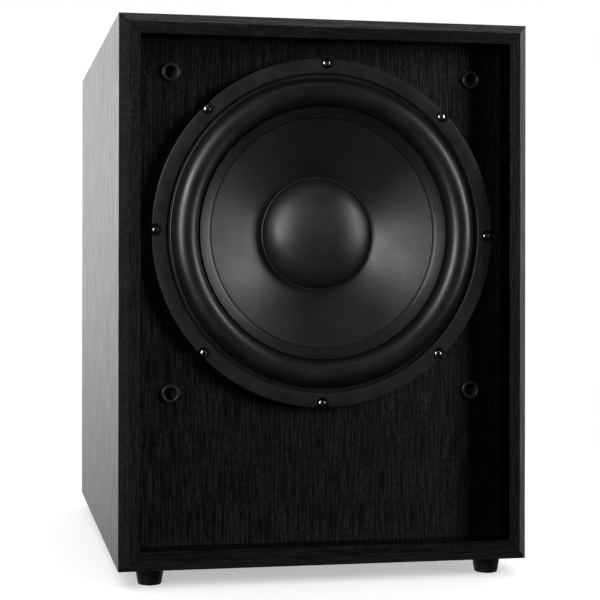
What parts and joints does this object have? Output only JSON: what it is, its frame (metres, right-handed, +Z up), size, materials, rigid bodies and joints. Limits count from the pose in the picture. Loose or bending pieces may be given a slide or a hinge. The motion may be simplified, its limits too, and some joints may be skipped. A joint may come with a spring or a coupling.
{
  "type": "subwoofer cabinet",
  "caption": "Active bass loudspeaker: black ash box with a recessed cone driver behind grille sockets, rear reflex port and plate amplifier with controls.",
  "frame": {"origin": "centre of the footprint, on the surface that the feet stand on", "axes": "+Z up, the driver faces -Y, +X to the right seen from the front"},
  "size_m": [0.36, 0.458, 0.4845],
  "materials": {
    "black_ash": "black ash vinyl, embossed grain, satin",
    "bare_board": "raw fibreboard",
    "moulding": "satin moulding",
    "black_steel": "black powder coat",
    "gasket": "satin moulded ring",
    "plated_steel": "zinc plated",
    "surround_rubber": "glossy butyl rubber",
    "spider_cloth": "resin-stiffened cloth",
    "cone_paper": "coated paper pulp, matte",
    "cap_paper": "smooth pressed dome, satin",
    "former_paper": "resin-bonded paper",
    "copper": "lacquered copper",
    "ferrite": "ground ferrite",
    "fibre_board": "brown fibre board",
    "wadding": "polyester wadding",
    "black_aluminium": "black anodised",
    "circuit_board": "glass-fibre board",
    "capacitor_sleeve": "shrink sleeve",
    "winding": "taped and lacquered winding",
    "cable": "flexible insulation"
  },
  "bodies": {
    "cabinet": {"amp_plate": "black_aluminium", "bottom_panel": "black_ash", "capacitor_1": "capacitor_sleeve", "capacitor_2": "capacitor_sleeve", "circuit_board": "circuit_board", "cross_brace": "bare_board", "crossover_potentiometer": "plated_steel", "driver_basket": "black_steel", "driver_gasket": "gasket", "driver_screw_1": "plated_steel", "driver_screw_2": "plated_steel", "driver_screw_3": "plated_steel", "driver_screw_4": "plated_steel", "driver_screw_5": "plated_steel", "driver_screw_6": "plated_steel", "driver_screw_7": "plated_steel", "driver_screw_8": "plated_steel", "foot_front_left": "moulding", "foot_front_right": "moulding", "foot_rear_left": "moulding", "foot_rear_right": "moulding", "front_baffle": "black_ash", "fuse_holder": "moulding", "grille_socket_bottom_left": "moulding", "grille_socket_bottom_right": "moulding", "grille_socket_top_left": "moulding", "grille_socket_top_right": "moulding", "heat_sink": "black_aluminium", "left_panel": "black_ash", "line_input_block": "moulding", "mains_inlet": "moulding", "phase_switch_body": "moulding", "pole_yoke": "plated_steel", "port_tube": "moulding", "power_rocker_frame": "moulding", "rear_panel": "black_ash", "right_panel": "black_ash", "ring_magnet": "ferrite", "speaker_lead": "cable", "spider": "spider_cloth", "surround": "surround_rubber", "terminal_board": "fibre_board", "tinsel_lead_left": "copper", "tinsel_lead_right": "copper", "top_panel": "black_ash", "top_plate": "plated_steel", "transformer": "winding", "volume_potentiometer": "plated_steel", "wadding_left": "wadding", "wadding_right": "wadding"},
    "cone_assembly": {"paper_cone": "cone_paper", "dust_cap": "cap_paper", "coil_former": "former_paper", "voice_coil": "copper"},
    "volume_knob": {"volume_knob": "moulding"},
    "crossover_knob": {"crossover_knob": "moulding"},
    "phase_switch_lever": {"phase_switch_lever": "plated_steel"},
    "power_rocker": {"power_rocker": "moulding"}
  },
  "joints": [
    {"name": "cone_slide", "type": "slide", "parent": "cabinet", "child": "cone_assembly", "axis": [0, -1, 0], "range_m": [-0.008, 0.008], "stiffness_N_per_m": 3000, "deforming": ["surround", "spider", "tinsel_lead_left", "tinsel_lead_right"]},
    {"name": "volume_turn", "type": "hinge", "parent": "cabinet", "child": "volume_knob", "pos_m": [0.062, 0.2143, 0.2785], "axis": [0, -1, 0], "range_deg": [-150, 150]},
    {"name": "crossover_turn", "type": "hinge", "parent": "cabinet", "child": "crossover_knob", "pos_m": [0.062, 0.2143, 0.2325], "axis": [0, -1, 0], "range_deg": [-150, 150]},
    {"name": "phase_slide", "type": "slide", "parent": "cabinet", "child": "phase_switch_lever", "axis": [-1, 0, 0], "range_m": [0, 0.006]},
    {"name": "power_rock", "type": "hinge", "parent": "cabinet", "child": "power_rocker", "pos_m": [0.002, 0.2165, 0.1025], "axis": [-1, 0, 0], "range_deg": [0, 16]}
  ]
}
